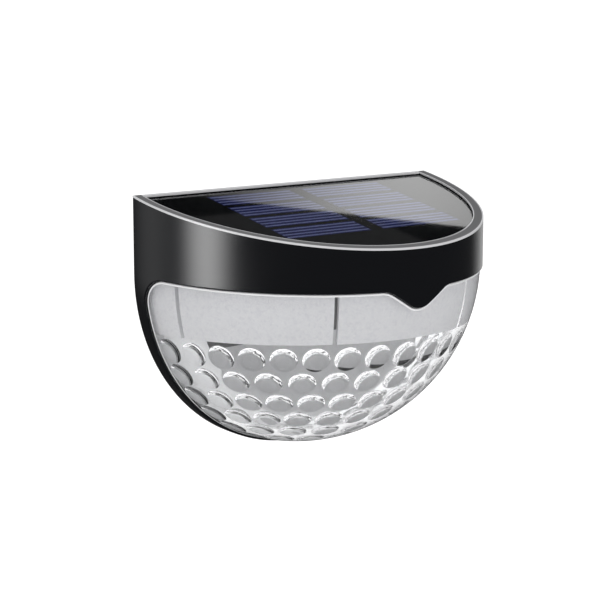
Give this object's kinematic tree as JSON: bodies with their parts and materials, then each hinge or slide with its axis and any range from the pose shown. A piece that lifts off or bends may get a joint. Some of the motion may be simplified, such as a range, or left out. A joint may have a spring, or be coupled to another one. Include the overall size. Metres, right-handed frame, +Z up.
{
  "type": "solar fence light",
  "caption": "Half-round solar wall light: black housing with a sloping panel roof over a clear dimpled dome, hung on keyholes in its back plate.",
  "frame": {"origin": "on the back face that lies on the wall, midway between the keyholes and at the height of their entry circles", "axes": "+Z up, +Y into the wall, so the light stands out towards -Y; +X to the right for someone facing it"},
  "size_m": [0.1164, 0.0627, 0.0814],
  "materials": {
    "housing_black": "gloss moulded plastic",
    "rim_grey": "silver-grey satin",
    "cover_clear": "clear, polished",
    "panel_black": "black laminate",
    "cell_blue": "dark blue silicon with fine lines",
    "foam_tape": "foam tape",
    "lens_clear": "clear, polished",
    "diffuser_frosted": "frosted, finely speckled",
    "reflector_silver": "metallised",
    "lamp_board": "white solder mask",
    "lamp_white": "lamp package",
    "screw_steel": "zinc plated",
    "seal_rubber": "soft seal",
    "plate_black": "fine texture",
    "control_green": "green solder mask",
    "chip_black": "moulded",
    "inductor_grey": "sleeved",
    "capacitor_can": "plain can",
    "battery_wrap": "plain wrap",
    "holder_black": "moulded",
    "contact_steel": "nickel plated",
    "switch_can": "plain",
    "knob_black": "moulded",
    "lead_red": "insulated wire",
    "lead_black": "insulated wire"
  },
  "bodies": {
    "light": {"back_plate": "plate_black", "back_screws": "screw_steel", "battery": "battery_wrap", "battery_holder": "holder_black", "battery_lead_negative": "lead_black", "battery_lead_positive": "lead_red", "board_screws": "screw_steel", "capacitor": "capacitor_can", "contact_negative": "contact_steel", "contact_positive": "contact_steel", "control_board": "control_green", "control_chip": "chip_black", "diffuser": "diffuser_frosted", "gasket": "seal_rubber", "housing": "housing_black", "inductor": "inductor_grey", "led_1": "lamp_white", "led_2": "lamp_white", "led_3": "lamp_white", "led_4": "lamp_white", "led_5": "lamp_white", "led_6": "lamp_white", "led_board": "lamp_board", "led_lead_negative": "lead_black", "led_lead_positive": "lead_red", "lens": "lens_clear", "panel_board": "panel_black", "panel_cover": "cover_clear", "panel_lead_negative": "lead_black", "panel_lead_positive": "lead_red", "panel_pad": "foam_tape", "reflector": "reflector_silver", "reflector_screws": "screw_steel", "solar_cell_1": "cell_blue", "solar_cell_2": "cell_blue", "solar_cell_3": "cell_blue", "solar_cell_4": "cell_blue", "solar_cell_5": "cell_blue", "solar_cell_6": "cell_blue", "solar_cell_7": "cell_blue", "solar_cell_8": "cell_blue", "switch_body": "switch_can", "trim_ring": "rim_grey"},
    "switch": {"switch_knob": "knob_black"}
  },
  "joints": [
    {"name": "switch_slide", "type": "slide", "parent": "light", "child": "switch", "axis": [1, 0, 0], "range_m": [0, 0.003]}
  ]
}
